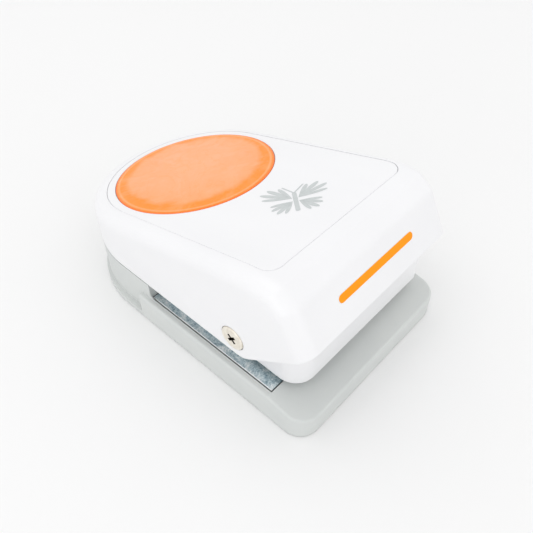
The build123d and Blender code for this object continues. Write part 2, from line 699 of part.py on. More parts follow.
def make_lever_shell():
    """White moulded lever: nose, sides and tail in one shell, open below."""
    shell = round_rim(lever_form(0, 0), LEVER_EDGE_R)
    shell -= round_rim(lever_form(LEVER_WALL, LEVER_ROOF), INNER_EDGE_R)
    shell -= prism(panel_outline(GROOVE), (0, BEYOND)) - lever_form(0, PANEL_THICKNESS)
    for side in (-1, 1):
        boss = (side * (LEVER_HALF_WIDTH - 1.0), side * BOSS_FACE_X)
        shell += crosswise(BOSS_R, sorted(boss), PIVOT_DEPTH, PIVOT_Z)
        seat = (side * (LEVER_HALF_WIDTH + 1.0), side * (LEVER_HALF_WIDTH - SCREW_SEAT))
        shell -= crosswise(SCREW_HEAD_R + SEAT_GAP, sorted(seat), PIVOT_DEPTH, PIVOT_Z)
    shell -= crosswise(SCREW_SHANK_R + SCREW_GAP, (-BEYOND, BEYOND), PIVOT_DEPTH, PIVOT_Z)
    lug_depths = (LATCH_PLATE_END_DEPTH + LUG_GAP, LENGTH - LEVER_WALL + OVERLAP)
    shell += solid_box(LUG_X, lug_depths, LUG_Z)
    for x, depth in PANEL_SCREW_SPOTS + BRACKET_SCREW_SPOTS:
        shell -= roof_screw(x, depth, 0.0, SCREW_CUT, gap=SCREW_GAP, head=False)
    return shell


def upper_edges(panel):
    """The edges round the top face of the panel blank."""
    skin = [face for face in panel.faces() if face.normal_at(face.center()).Z > 0.5]
    rim = []
    for face in skin:
        for edge in face.outer_wire().edges():
            shared = [other for other in skin if other is not face and has_edge(other, edge)]
            if not shared:
                rim.append(edge)
    return rim


def has_edge(face, edge):
    """True if a face has an edge with the same middle point."""
    middle = edge.position_at(0.5)
    return any((other.position_at(0.5) - middle).length < 1e-4 for other in face.outer_wire().edges())


def make_top_panel():
    """Flat white panel set into the lever, with a shallow seat for the palm pad."""
    panel = prism(panel_outline(0), (0, BEYOND)) & lever_form(0, 0)
    panel -= lever_form(0, PANEL_THICKNESS)
    panel = fillet(upper_edges(panel), GROOVE_EDGE_R)
    seat = Ellipse(*[axis + PAD_GAP for axis in PAD_SEMI_AXES])
    panel -= extrude(pad_plane(-PAD_RECESS) * seat, PAD_RECESS + PAD_STAND_OUT)
    for x, depth in PANEL_SCREW_SPOTS:
        panel -= roof_screw(x, depth, 0.0, PANEL_SCREW_LENGTH, gap=SCREW_GAP, head=False)
    return panel


def make_palm_pad():
    """Soft pad for the palm, standing a little out of the panel."""
    pad = extrude(pad_plane(-PAD_RECESS) * Ellipse(*PAD_SEMI_AXES), PAD_RECESS + PAD_STAND_OUT)
    rim = pad.faces().sort_by(Axis.Z)[-1].edges()
    return fillet(rim, PAD_EDGE_R)


def roof_screw(x, depth, head_drop, length, gap=0.0, head=True):
    """Pan-head screw up through the lever's sloping roof; its head sits head_drop below the roof."""
    normal = Vector(0, sin(atan(TOP_SLOPE)), cos(atan(TOP_SLOPE)))
    roof = Vector(x, from_nose(depth), top_z(depth) - LEVER_ROOF)
    seat = Plane(origin=roof - normal * head_drop, x_dir=(1, 0, 0), z_dir=normal)
    screw = Pos(0, 0, (length - PAN_ROOT) / 2) * Cylinder(PAN_SHANK_R + gap, length + PAN_ROOT)
    if head:
        cap = Pos(0, 0, -PAN_HEAD_HEIGHT / 2) * Cylinder(PAN_HEAD_R, PAN_HEAD_HEIGHT)
        screw = fillet(cap.edges().group_by(Axis.Z)[0], PAN_HEAD_EDGE_R) + screw
        screw -= Pos(0, 0, -PAN_HEAD_HEIGHT) * cross_recess(*PAN_CROSS)
    return seat * screw


def make_panel_screws():
    """Screws from inside the lever up into the top panel."""
    length = PANEL_SCREW_LENGTH - PANEL_SCREW_END_GAP
    return [roof_screw(x, depth, 0.0, length) for x, depth in PANEL_SCREW_SPOTS]


def make_bracket_screws():
    """Screws that hold the press bracket under the lever's roof."""
    drop = BRACKET_SHEET * cos(atan(TOP_SLOPE)) + BRACKET_SCREW_FLOAT
    return [roof_screw(x, depth, drop, BRACKET_SHEET + PAN_GRIP) for x, depth in BRACKET_SCREW_SPOTS]


# ---- press roller under the lever ----
def roof_z(depth):
    """Height of the flat underside of the lever's roof."""
    return top_z(depth) - LEVER_ROOF


def make_press_bracket():
    """Folded steel bracket under the roof; its two ears carry the roller."""
    front, back = (PUNCH_DEPTH - BRACKET_HALF_DEPTH, PUNCH_DEPTH + BRACKET_HALF_DEPTH)
    ears = [
        (front, roof_z(front)),
        (back, roof_z(back)),
        (back, roof_z(back) - EAR_DROP),
        (PUNCH_DEPTH + EAR_END_R, ROLLER_Z),
        (PUNCH_DEPTH - EAR_END_R, ROLLER_Z),
        (front, roof_z(front) - EAR_DROP),
    ]
    bracket = across(ears, BRACKET_HALF_WIDTH)
    bracket += crosswise(EAR_END_R, (-BRACKET_HALF_WIDTH, BRACKET_HALF_WIDTH), PUNCH_DEPTH, ROLLER_Z)
    between = [
        (front - 1, roof_z(front - 1) - BRACKET_SHEET),
        (back + 1, roof_z(back + 1) - BRACKET_SHEET),
        (back + 1, 0),
        (front - 1, 0),
    ]
    bracket -= across(between, BRACKET_HALF_WIDTH - BRACKET_SHEET)
    bracket -= crosswise(ROLLER_BORE_R, (-BEYOND, BEYOND), PUNCH_DEPTH, ROLLER_Z)
    for x, depth in BRACKET_SCREW_SPOTS:
        bracket -= roof_screw(x, depth, EAR_DROP, SCREW_CUT, gap=SCREW_GAP, head=False)
    return bracket


def make_press_roller():
    """Nylon roller that presses the carrier down."""
    half = ROLLER_WIDTH / 2
    roller = crosswise(ROLLER_R, (-half, half), PUNCH_DEPTH, ROLLER_Z)
    roller = chamfer(roller.edges(), EDGE_CHAMFER)
    return roller - crosswise(ROLLER_BORE_R + RUNNING_FIT, (-BEYOND, BEYOND), PUNCH_DEPTH, ROLLER_Z)


def make_roller_pin():
    """Axle of the roller, pressed into the ears."""
    half = BRACKET_HALF_WIDTH + ROLLER_PIN_STAND_OUT
    pin = crosswise(ROLLER_BORE_R, (-half, half), PUNCH_DEPTH, ROLLER_Z)
    return chamfer(pin.edges().filter_by(GeomType.CIRCLE), ROLLER_PIN_CHAMFER)


# ---- pivot ----
def make_pivot_pin():
    """Steel pin between the lever's sides, bored at both ends for the pivot screws."""
    reach = BOSS_FACE_X - RUNNING_FIT
    pin = crosswise(PIN_R, (-reach, reach), PIVOT_DEPTH, PIVOT_Z)
    for side in (-1, 1):
        bore = sorted((side * (reach - PIN_BORE_DEPTH), side * (reach + 1)))
        pin -= crosswise(SCREW_SHANK_R, bore, PIVOT_DEPTH, PIVOT_Z)
    return pin


def make_pivot_screw():
    """Right pivot screw, its wide flat head seated in the lever's side."""
    seat_x = LEVER_HALF_WIDTH - SCREW_SEAT
    head = Pos(0, 0, SCREW_HEAD_HEIGHT / 2) * Cylinder(SCREW_HEAD_R, SCREW_HEAD_HEIGHT)
    head = fillet(head.edges().group_by(Axis.Z)[-1], SCREW_HEAD_EDGE_R)
    length = seat_x - BOSS_FACE_X + PIN_BORE_DEPTH - SCREW_END_GAP
    screw = head + Pos(0, 0, -length / 2) * Cylinder(SCREW_SHANK_R, length)
    screw -= Pos(0, 0, SCREW_HEAD_HEIGHT) * Rot(0, 0, 45) * cross_recess(*PIVOT_CROSS)
    return Pos(seat_x, from_nose(PIVOT_DEPTH), PIVOT_Z) * Rot(0, 90, 0) * screw


# ---- storage latch ----
def make_storage_latch():
    """Slider in the tail wall; moved right, its hook lies over the lug in the lever."""
    width, height = LATCH_BUTTON
    centre = LATCH_START_X
    plate_width, plate_thick, plate_height = LATCH_PLATE
    plate_depths = (LATCH_PLATE_END_DEPTH - plate_thick, LATCH_PLATE_END_DEPTH)
    plate_x = (centre - plate_width / 2, centre + plate_width / 2)
    plate_z = (LATCH_SLOT_Z - plate_height / 2, LATCH_SLOT_Z + plate_height / 2)
    latch = solid_box(plate_x, plate_depths, plate_z)
    stem_x = (centre - width / 2, centre + width / 2)
    stem_z = (LATCH_SLOT_Z - height / 2, LATCH_SLOT_Z + height / 2)
    latch += solid_box(stem_x, (LATCH_PLATE_END_DEPTH, LENGTH - LATCH_SINK), stem_z)
    cap_x = (stem_x[0] - LATCH_CAP_RIM, stem_x[1] + LATCH_CAP_RIM)
    cap_z = (stem_z[0] - LATCH_CAP_RIM, stem_z[1] + LATCH_CAP_RIM)
    cap = solid_box(cap_x, (LATCH_POCKET_DEPTH + LATCH_CAP_GAP, LENGTH - LATCH_SINK), cap_z)
    latch += chamfer(cap.edges().group_by(Axis.Y)[-1], LATCH_CHAMFER)
    hook_x = (centre - LATCH_HOOK_WIDTH, centre)
    latch += solid_box(hook_x, plate_depths, (plate_z[0], LATCH_HOOK_Z[1]))
    hook_depths = (plate_depths[0], LATCH_PLATE_END_DEPTH + LATCH_HOOK_REACH)
    latch += solid_box(hook_x, hook_depths, LATCH_HOOK_Z)
    return latch


def write_parts():
    """Write every named piece of the punch."""
    os.makedirs("parts", exist_ok=True)
    save("base", make_base())
    save("rubber_feet", *make_feet())
    save("die_plate", make_die_plate())
    save("die_screws", *make_die_screws())
    save("throat_spacer", make_throat_spacer())
    save("guide_plate", make_guide_plate())
    save("frame_rivets", *make_frame_rivets())
    save("frame_cheeks", *both_sides(make_cheek()))
    save("cheek_screws", *make_cheek_screws())
    save("pivot_bushes", *both_sides(make_bush()))
    save("guide_pins", *make_guide_pins())
    save("return_springs", *make_return_springs())
    save("head_cover", make_head())
    save("head_screws", *make_head_screws())
    save("punch", make_punch())
    save("punch_carrier", make_carrier())
    save("punch_screws", *make_punch_screws())
    save("lever_shell", make_lever_shell())
    save("top_panel", make_top_panel())
    save("palm_pad", make_palm_pad())
    save("panel_screws", *make_panel_screws())
    save("press_bracket", make_press_bracket())
    save("bracket_screws", *make_bracket_screws())
    save("press_roller", make_press_roller())
    save("roller_pin", make_roller_pin())
    save("pivot_pin", make_pivot_pin())
    save("pivot_screws", *both_sides(make_pivot_screw()))
    save("storage_latch", make_storage_latch())


write_parts()
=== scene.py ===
import json
import math

import bmesh
import bpy
from mathutils import Matrix, Vector


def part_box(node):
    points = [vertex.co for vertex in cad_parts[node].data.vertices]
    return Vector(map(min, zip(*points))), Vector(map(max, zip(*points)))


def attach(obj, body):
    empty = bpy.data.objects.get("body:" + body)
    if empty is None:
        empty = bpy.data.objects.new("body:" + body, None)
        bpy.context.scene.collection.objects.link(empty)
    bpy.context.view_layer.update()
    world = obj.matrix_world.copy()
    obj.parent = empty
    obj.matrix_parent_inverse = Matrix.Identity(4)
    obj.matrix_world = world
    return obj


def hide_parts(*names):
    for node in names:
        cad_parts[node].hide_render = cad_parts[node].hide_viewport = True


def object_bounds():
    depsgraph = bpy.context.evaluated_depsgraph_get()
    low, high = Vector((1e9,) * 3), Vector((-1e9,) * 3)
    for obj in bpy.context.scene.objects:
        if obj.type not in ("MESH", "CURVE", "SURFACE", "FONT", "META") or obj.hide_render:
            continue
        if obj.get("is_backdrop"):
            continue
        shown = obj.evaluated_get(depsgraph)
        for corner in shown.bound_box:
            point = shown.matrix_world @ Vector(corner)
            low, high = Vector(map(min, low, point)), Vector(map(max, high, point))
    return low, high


# Looks for a lever paper punch: white glossy lever and head, pale grey base, galvanised die plate,
# an orange gel palm pad, nickel pivot screws, and two plain printed marks.
# Everything is in metres, in the part's own frame: X across, the open nose towards -Y, +Z up.

MM = 0.001

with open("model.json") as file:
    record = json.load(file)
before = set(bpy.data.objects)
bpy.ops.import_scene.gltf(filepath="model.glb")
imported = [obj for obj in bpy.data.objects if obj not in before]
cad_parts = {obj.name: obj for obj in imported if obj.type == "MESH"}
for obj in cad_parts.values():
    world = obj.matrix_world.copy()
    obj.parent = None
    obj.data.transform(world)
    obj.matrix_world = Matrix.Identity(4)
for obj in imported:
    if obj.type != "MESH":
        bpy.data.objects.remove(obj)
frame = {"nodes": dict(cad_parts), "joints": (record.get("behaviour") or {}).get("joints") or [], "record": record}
cad_low, cad_high = (Vector(corner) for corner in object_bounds())


# ---- places taken from the frame ----
def hinge_of(joint_name):
    """A joint of the frame by name."""
    return next(j for j in frame["joints"] if j["name"] == joint_name)


NOSE_Y = cad_low.y
PIVOT = Vector(hinge_of("lever_hinge")["pos_m"])
PAD_LOW, PAD_HIGH = (Vector(corner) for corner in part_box("palm_pad"))
DIE_LOW, DIE_HIGH = (Vector(corner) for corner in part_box("die_plate"))
SCREW_HIGH = Vector(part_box("pivot_screws")[1])

# The lever's top falls towards the tail at this slope, from its height above the nose line.
TOP_SLOPE = 0.285
TOP_ABOVE_NOSE = 67.7 * MM
TOP_NORMAL = Vector((0, TOP_SLOPE, 1)).normalized()
TOP_ALONG = Vector((0, 1, -TOP_SLOPE)).normalized()

# Straight part of the nose face, as (distance back from the nose, height).
NOSE_FACE_TOP = Vector((0, NOSE_Y + 10.2 * MM, 55.9 * MM))
NOSE_FACE_FOOT = Vector((0, NOSE_Y + 2.3 * MM, 41.5 * MM))

# Width of the painted highlight along the die plate's side edges.
EDGE_SHINE = 0.35 * MM

# Painted shade darkens the plate's pocket: this far past the plate's sides and under it, from just
# below the plate's top, and back to this depth.
POCKET_REACH = 0.6 * MM
POCKET_UNDER = 0.2 * MM
POCKET_BELOW_TOP = 0.15 * MM
POCKET_END_DEPTH = 76.5 * MM

# Painted shade in a pivot screw's cross recess: within this radius, and this far under the face.
CROSS_REACH = 2.2 * MM
CROSS_UNDER = 0.06 * MM


def on_top(x, depth, lift=0.0):
    """Point on the lever's sloping top, depth measured back from the nose."""
    spot = Vector((x, NOSE_Y + depth, TOP_ABOVE_NOSE - TOP_SLOPE * depth))
    return spot + TOP_NORMAL * lift


# ---- material helpers ----
class Nodes:
    """Short way to build a material's node tree."""

    def __init__(self, name):
        self.material = bpy.data.materials.new(name)
        self.material.use_nodes = True
        self.tree = self.material.node_tree
        self.shader = self.tree.nodes["Principled BSDF"]
        self.place = self.add("ShaderNodeTexCoord").outputs["Object"]

    def add(self, kind, **inputs):
        """Adds a node; an input is a value, or a socket to link."""
        node = self.tree.nodes.new(kind)
        for key, value in inputs.items():
            self.put(node, key.replace("_", " "), value)
        return node

    def put(self, node, key, value):
        """Sets or links one input of a node."""
        socket = node.inputs[key]
        if isinstance(value, bpy.types.NodeSocket):
            self.tree.links.new(value, socket)
        else:
            socket.default_value = value

    def set(self, **inputs):
        """Sets or links inputs of the main shader."""
        for key, value in inputs.items():
            self.put(self.shader, key.replace("_", " "), value)

    def stretched(self, scale):
        """Object position scaled differently along X, Y and Z."""
        node = self.add("ShaderNodeMapping", Vector=self.place)
        node.inputs["Scale"].default_value = scale
        return node.outputs["Vector"]

    def noise(self, scale, detail=4.0, roughness=0.5, distortion=0.0, vector=None):
        """Noise at a scale in features per metre."""
        node = self.add(
            "ShaderNodeTexNoise",
            Vector=vector or self.place,
            Scale=scale,
            Detail=detail,
            Roughness=roughness,
            Distortion=distortion,
        )
        return node.outputs["Fac"]

    def ramp(self, factor, stops):
        """Colour ramp from (position, colour) stops; one number stands for a grey."""
        node = self.add("ShaderNodeValToRGB", Fac=factor)
        points = node.color_ramp.elements
        while len(points) < len(stops):
            points.new(0.5)
        for point, (position, colour) in zip(points, stops):
            point.position = position
            point.color = (*colour, 1.0) if len(colour) == 3 else (colour[0],) * 3 + (1.0,)
        return node.outputs["Color"]

    def spread(self, factor, low, high, from_low=0.3, from_high=0.7):
        """Maps a factor to a range of values."""
        node = self.add("ShaderNodeMapRange", Value=factor)
        node.inputs["From Min"].default_value = from_low
        node.inputs["From Max"].default_value = from_high
        node.inputs["To Min"].default_value = low
        node.inputs["To Max"].default_value = high
        return node.outputs["Result"]

    def maths(self, operation, a, b=0.0):
        """One maths step."""
        node = self.tree.nodes.new("ShaderNodeMath")
        node.operation = operation
        for socket, value in zip(node.inputs, (a, b)):
            if isinstance(value, bpy.types.NodeSocket):
                self.tree.links.new(value, socket)
            else:
                socket.default_value = value
        return node.outputs["Value"]

    def axis(self, name):
        """One coordinate of the object position."""
        return self.add("ShaderNodeSeparateXYZ", Vector=self.place).outputs[name]

    def above(self, value, limit):
        """One where a value is above a limit, else nought."""
        return self.maths("GREATER_THAN", value, limit)

    def below(self, value, limit):
        """One where a value is below a limit, else nought."""
        return self.maths("LESS_THAN", value, limit)

    def all_of(self, *tests):
        """One where every test is one."""
        result = tests[0]
        for test in tests[1:]:
            result = self.maths("MULTIPLY", result, test)
        return result

    def mix(self, factor, a, b):
        """Mix of two colours or colour sockets."""
        node = self.tree.nodes.new("ShaderNodeMix")
        node.data_type = "RGBA"
        colours = [s for s in node.inputs if s.type == "RGBA"]
        factor_socket = next(s for s in node.inputs if s.type == "VALUE")
        for socket, value in ((factor_socket, factor), (colours[0], a), (colours[1], b)):
            if isinstance(value, bpy.types.NodeSocket):
                self.tree.links.new(value, socket)
            else:
                socket.default_value = value if socket.type == "VALUE" else (*value, 1.0)
        return next(s for s in node.outputs if s.type == "RGBA")

    def bump(self, height, distance, strength):
        """Bump of a height, its distance in metres."""
        node = self.add("ShaderNodeBump", Height=height, Distance=distance, Strength=strength)
        return node.outputs["Normal"]


def make_white_plastic():
    """Glossy white moulding: faint flow marks, a soft ripple and slightly rubbed patches."""
    m = Nodes("white_plastic_gloss")
    flow = m.noise(38.0, detail=3.0, vector=m.stretched((1.0, 0.4, 1.0)))
    m.set(Base_Color=m.ramp(flow, [(0.3, (0.815, 0.815, 0.83)), (0.7, (0.845, 0.845, 0.857))]))
    rubbed = m.noise(90.0, detail=3.0, roughness=0.5)
    m.set(Roughness=m.spread(rubbed, 0.30, 0.38))
    m.set(Normal=m.bump(m.noise(160.0, detail=0.0), 0.00002, 0.1))
    m.set(Coat_Weight=0.1, Coat_Roughness=0.2, IOR=1.49)
    return m.material


def make_grey_plastic():
    """Satin grey moulding with a fine spark-eroded grain, and painted shade in the die plate's pocket."""
    m = Nodes("grey_plastic_satin")
    cloud = m.noise(45.0, detail=4.0)
    body = m.ramp(cloud, [(0.3, (0.585, 0.608, 0.60)), (0.7, (0.63, 0.65, 0.636))])
    x = m.maths("ABSOLUTE", m.axis("X"))
    z = m.axis("Z")
    # painted shade: the grey is drawn near-black in the gap round the die plate and under it
    painted_shade_pocket = m.all_of(
        m.below(x, DIE_HIGH.x + POCKET_REACH),
        m.above(m.axis("Y"), DIE_LOW.y - POCKET_REACH),
        m.below(m.axis("Y"), NOSE_Y + POCKET_END_DEPTH),
        m.above(z, DIE_LOW.z - POCKET_UNDER),
        m.below(z, DIE_HIGH.z - POCKET_BELOW_TOP),
    )
    m.set(Base_Color=m.mix(painted_shade_pocket, body, (0.02, 0.021, 0.022)))
    grain = m.noise(2600.0, detail=3.0, roughness=0.6)
    m.set(Roughness=m.spread(m.noise(140.0, detail=5.0), 0.42, 0.56))
    m.set(Normal=m.bump(grain, 0.00004, 0.45))
    m.set(IOR=1.49)
    return m.material


def make_galvanised_steel():
    """Zinc-coated sheet: cool mottled spangle over darker patches, with bright scuffs and a painted highlight
    along its side edges.
    """
    m = Nodes("galvanised_steel_mottled")
    spangle = m.add("ShaderNodeTexVoronoi", Vector=m.place, Scale=900.0, Randomness=1.0)
    cloud = m.noise(260.0, detail=8.0, roughness=0.72, distortion=0.5)
    fine = m.noise(1500.0, detail=4.0, roughness=0.7)
    mottle = m.maths("ADD", m.maths("MULTIPLY", cloud, 0.6), m.maths("MULTIPLY", fine, 0.4))
    tint = m.ramp(
        mottle,
        [
            (0.40, (0.10, 0.21, 0.28)),
            (0.47, (0.40, 0.53, 0.58)),
            (0.53, (0.63, 0.73, 0.75)),
            (0.60, (0.95, 0.97, 0.97)),
        ],
    )
    crystals = m.maths("MULTIPLY", spangle.outputs["Distance"], 0.25)
    worn = m.mix(crystals, tint, (0.80, 0.85, 0.86))
    x = m.maths("ABSOLUTE", m.axis("X"))
    # painted highlight: a near-white strip drawn along the plate's two long side edges
    painted_edge_highlight = m.above(x, DIE_HIGH.x - EDGE_SHINE)
    m.set(Base_Color=m.mix(m.maths("MULTIPLY", painted_edge_highlight, 0.85), worn, (0.97, 0.98, 0.98)))
    m.set(Metallic=0.55, Roughness=m.spread(fine, 0.26, 0.46))
    m.set(Normal=m.bump(fine, 0.00003, 0.5))
    return m.material


def make_tool_steel():
    """Ground tool steel: fine grinding lines and a slight oil tint."""
    m = Nodes("tool_steel_ground")
    lines = m.noise(55.0, detail=8.0, roughness=0.7, vector=m.stretched((90.0, 1.5, 90.0)))
    m.set(Base_Color=m.ramp(lines, [(0.35, (0.44, 0.44, 0.45)), (0.65, (0.63, 0.62, 0.61))]))
    m.set(Metallic=1.0, Roughness=m.spread(lines, 0.22, 0.38))
    m.set(Normal=m.bump(lines, 0.00002, 0.35))
    return m.material


def make_nickel():
    """Warm nickel plating with faint turning marks, a little handling haze, and painted shade in the cross recess.
    """
    m = Nodes("nickel_plating_warm")
    haze = m.noise(700.0, detail=5.0, roughness=0.6)
    plating = m.ramp(haze, [(0.35, (0.78, 0.72, 0.62)), (0.65, (0.90, 0.86, 0.77))])
    y = m.maths("SUBTRACT", m.axis("Y"), PIVOT.y)
    z = m.maths("SUBTRACT", m.axis("Z"), PIVOT.z)
    square = m.maths("ADD", m.maths("MULTIPLY", y, y), m.maths("MULTIPLY", z, z))
    # painted shade: the cross recess is drawn nearly black
    painted_shade_cross = m.all_of(
        m.below(square, CROSS_REACH ** 2),
        m.below(m.maths("ABSOLUTE", m.axis("X")), SCREW_HIGH.x - CROSS_UNDER),
    )
    m.set(Base_Color=m.mix(painted_shade_cross, plating, (0.06, 0.05, 0.04)))
    m.set(Metallic=0.6, Roughness=m.spread(haze, 0.28, 0.42))
    m.set(Normal=m.bump(m.noise(2600.0, detail=2.0), 0.00002, 0.4))
    return m.material


def make_spring_steel():
    """Drawn wire: darker, with lines along the coil."""
    m = Nodes("spring_steel_drawn")
    lines = m.noise(1800.0, detail=4.0, vector=m.stretched((1.0, 1.0, 6.0)))
    m.set(Base_Color=m.ramp(lines, [(0.3, (0.26, 0.26, 0.27)), (0.7, (0.44, 0.44, 0.45))]))
    m.set(Metallic=1.0, Roughness=m.spread(lines, 0.25, 0.4))
    m.set(Normal=m.bump(lines, 0.00002, 0.4))
    return m.material


def make_nylon():
    """Natural nylon: creamy, dull, lightly speckled."""
    m = Nodes("nylon_natural")
    speckle = m.noise(1100.0, detail=4.0)
    m.set(Base_Color=m.ramp(speckle, [(0.35, (0.74, 0.72, 0.65)), (0.65, (0.82, 0.80, 0.73))]))
    m.set(Roughness=m.spread(speckle, 0.45, 0.6), Subsurface_Weight=0.08, Subsurface_Scale=0.001)
    m.set(Normal=m.bump(speckle, 0.00003, 0.3))
    return m.material


def make_black_rubber():
    """Black rubber feet with a dusty, pitted face."""
    m = Nodes("black_rubber_matt")
    dust = m.noise(900.0, detail=6.0, roughness=0.7)
    m.set(Base_Color=m.ramp(dust, [(0.4, (0.018, 0.018, 0.019)), (0.75, (0.06, 0.058, 0.055))]))
    m.set(Roughness=m.spread(dust, 0.7, 0.9))
    m.set(Normal=m.bump(dust, 0.00006, 0.6))
    return m.material


def make_gel():
    """Orange gel: milky peach with soft flow marks, clear and saturated towards the rim, with painted shade
    deepening it towards the nose and left side.
    """
    m = Nodes("orange_gel_pearly")
    split = m.add("ShaderNodeSeparateXYZ", Vector=m.add("ShaderNodeTexCoord").outputs["UV"])
    across = m.maths("SUBTRACT", split.outputs["X"], 0.5)
    along = m.maths("SUBTRACT", split.outputs["Y"], 0.5)
    square = m.maths("ADD", m.maths("MULTIPLY", across, across), m.maths("MULTIPLY", along, along))
    radius = m.maths("MULTIPLY", m.maths("SQRT", square), 2.0)
    swirl = m.noise(62.0, detail=4.0, roughness=0.5, distortion=1.8)
    wander = m.maths("ADD", radius, m.maths("MULTIPLY", m.maths("SUBTRACT", swirl, 0.5), 0.2))
    # painted shade: the ramp is pushed towards deeper orange on the pad's nose and left side
    painted_shade_front_left = m.maths("MULTIPLY", m.maths("ADD", along, across), -0.08)
    body = m.ramp(
        m.maths("ADD", wander, painted_shade_front_left),
        [
            (0.0, (1.0, 0.42, 0.20)),
            (0.62, (1.0, 0.395, 0.175)),
            (0.80, (1.0, 0.375, 0.15)),
            (0.88, (1.0, 0.275, 0.015)),
            (1.0, (1.0, 0.275, 0.015)),
        ],
    )
    cloud = m.noise(48.0, detail=6.0, roughness=0.6, distortion=2.6)
    pearl = m.ramp(cloud, [(0.46, (0.0,)), (0.60, (1.0,))])
    veil = m.mix(m.maths("MULTIPLY", pearl, 0.2), body, (1.0, 0.52, 0.32))
    streak = m.noise(40.0, detail=5.0, roughness=0.55, distortion=3.2)
    thread = m.ramp(streak, [(0.47, (0.0,)), (0.495, (1.0,)), (0.52, (0.0,))])
    marbled = m.mix(m.maths("MULTIPLY", thread, 0.3), veil, (1.0, 0.31, 0.07))
    lip = m.ramp(radius, [(0.935, (0.0,)), (0.955, (0.6,)), (0.975, (0.0,))])
    pale_lip = m.mix(lip, marbled, (1.0, 0.47, 0.24))
    edge = m.ramp(radius, [(0.972, (0.0,)), (0.99, (1.0,))])
    m.set(Base_Color=m.mix(edge, pale_lip, (1.0, 0.20, 0.025)))
    m.set(Subsurface_Weight=0.15, Subsurface_Scale=0.002, Subsurface_Radius=(1.0, 0.35, 0.12))
    m.set(Roughness=m.spread(m.noise(500.0, detail=4.0), 0.32, 0.46))
    m.set(Coat_Weight=0.08, Coat_Roughness=0.25, IOR=1.40, Specular_IOR_Level=0.4)
    m.set(Normal=m.bump(m.noise(200.0, detail=3.0), 0.0002, 0.15))
    return m.material


def make_print(name, colour):
    """Screen-printed ink: slightly uneven film."""
    m = Nodes(name)
    film = m.noise(800.0, detail=5.0, roughness=0.65)
    darker = tuple(0.93 * c for c in colour)
    m.set(Base_Color=m.ramp(film, [(0.35, darker), (0.65, colour)]))
    m.set(Roughness=m.spread(film, 0.45, 0.6), Specular_IOR_Level=0.2)
    m.set(Normal=m.bump(film, 0.00001, 0.3))
    return m.material


WHITE = make_white_plastic()
GREY = make_grey_plastic()
ZINC = make_galvanised_steel()
TOOL_STEEL = make_tool_steel()
NICKEL = make_nickel()
SPRING = make_spring_steel()
NYLON = make_nylon()
RUBBER = make_black_rubber()

SLOT_MATERIALS = {
    "white_plastic": WHITE,
    "grey_plastic": GREY,
    "galvanised_steel": ZINC,
    "tool_steel": TOOL_STEEL,
    "nickel_screws": NICKEL,
    "spring_steel": SPRING,
    "nylon": NYLON,
    "black_rubber": RUBBER,
}


def dress_cad_nodes():
    """Gives each CAD node the material of its slot."""
    for entry in frame["record"]["subparts"]:
        node = frame["nodes"][entry["node"]]
        material = SLOT_MATERIALS.get(entry["material_slot"])
        if material is None:
            continue
        node.data.materials.clear()
        node.data.materials.append(material)


# ---- palm pad ----
PAD_RINGS = 40
PAD_SEGMENTS = 128
PAD_SHOULDER_STEPS = 8
# Heights above the lever's top: the sunk underside, the straight side's top, the shoulder's top
# and the rise of the crown.
PAD_BOTTOM = -1.25 * MM
PAD_SIDE_TOP = -0.1 * MM
PAD_EDGE_TOP = 0.3 * MM
PAD_CROWN = 0.9 * MM
PAD_CROWN_POWER = 1.2
PAD_SHOULDER = 1.6 * MM
# The tilted pad's box is longer than its plan by what its thickness leans over.
PAD_TILT_SPREAD = 0.25 * MM
PAD_SEMI_X = (PAD_HIGH.x - PAD_LOW.x) / 2
PAD_SEMI_Y = (PAD_HIGH.y - PAD_LOW.y) / 2 / math.cos(math.atan(TOP_SLOPE)) - PAD_TILT_SPREAD


def pad_profile():
    """Rings of the pad from its underside to its crown, as (share of the plan, height)."""
    profile = [(1.0, PAD_BOTTOM), (1.0, PAD_SIDE_TOP)]
    for step in range(1, PAD_SHOULDER_STEPS + 1):
        angle = math.pi / 2 * step / PAD_SHOULDER_STEPS
        inset = PAD_SHOULDER / PAD_SEMI_X * (1 - math.cos(angle))
        profile.append((1.0 - inset, PAD_EDGE_TOP * math.sin(angle)))
    inner = 1.0 - PAD_SHOULDER / PAD_SEMI_X
    for step in range(1, PAD_RINGS):
        share = inner * (1 - step / PAD_RINGS)
        rise = 1 - (share / inner) ** 2
        profile.append((share, PAD_EDGE_TOP + PAD_CROWN * rise ** PAD_CROWN_POWER))
    return profile


def pad_mesh():
    """Closed mesh of the pad, with its plan laid out in the UV map."""
    mesh = bmesh.new()
    uv = mesh.loops.layers.uv.new("UVMap")
    centre = on_top(0, (PAD_LOW.y + PAD_HIGH.y) / 2 - NOSE_Y)
    plan = {}
    rings = []
    for share, height in pad_profile():
        ring = []
        for k in range(PAD_SEGMENTS):
            turn = 2 * math.pi * k / PAD_SEGMENTS
            across, along = share * math.cos(turn), share * math.sin(turn)
            spot = centre + Vector((across * PAD_SEMI_X, 0, 0)) + TOP_ALONG * along * PAD_SEMI_Y
            vertex = mesh.verts.new(spot + TOP_NORMAL * height)
            plan[vertex] = (0.5 + across / 2, 0.5 + along / 2)
            ring.append(vertex)
        rings.append(ring)
    tip = mesh.verts.new(centre + TOP_NORMAL * (PAD_EDGE_TOP + PAD_CROWN))
    plan[tip] = (0.5, 0.5)
    for outer, inside in zip(rings, rings[1:]):
        for k in range(PAD_SEGMENTS):
            n = (k + 1) % PAD_SEGMENTS
            mesh.faces.new((outer[k], outer[n], inside[n], inside[k]))
    for k in range(PAD_SEGMENTS):
        mesh.faces.new((rings[-1][k], rings[-1][(k + 1) % PAD_SEGMENTS], tip))
    mesh.faces.new(list(reversed(rings[0])))
    for face in mesh.faces:
        face.smooth = True
        for loop in face.loops:
            loop[uv].uv = plan[loop.vert]
    return mesh


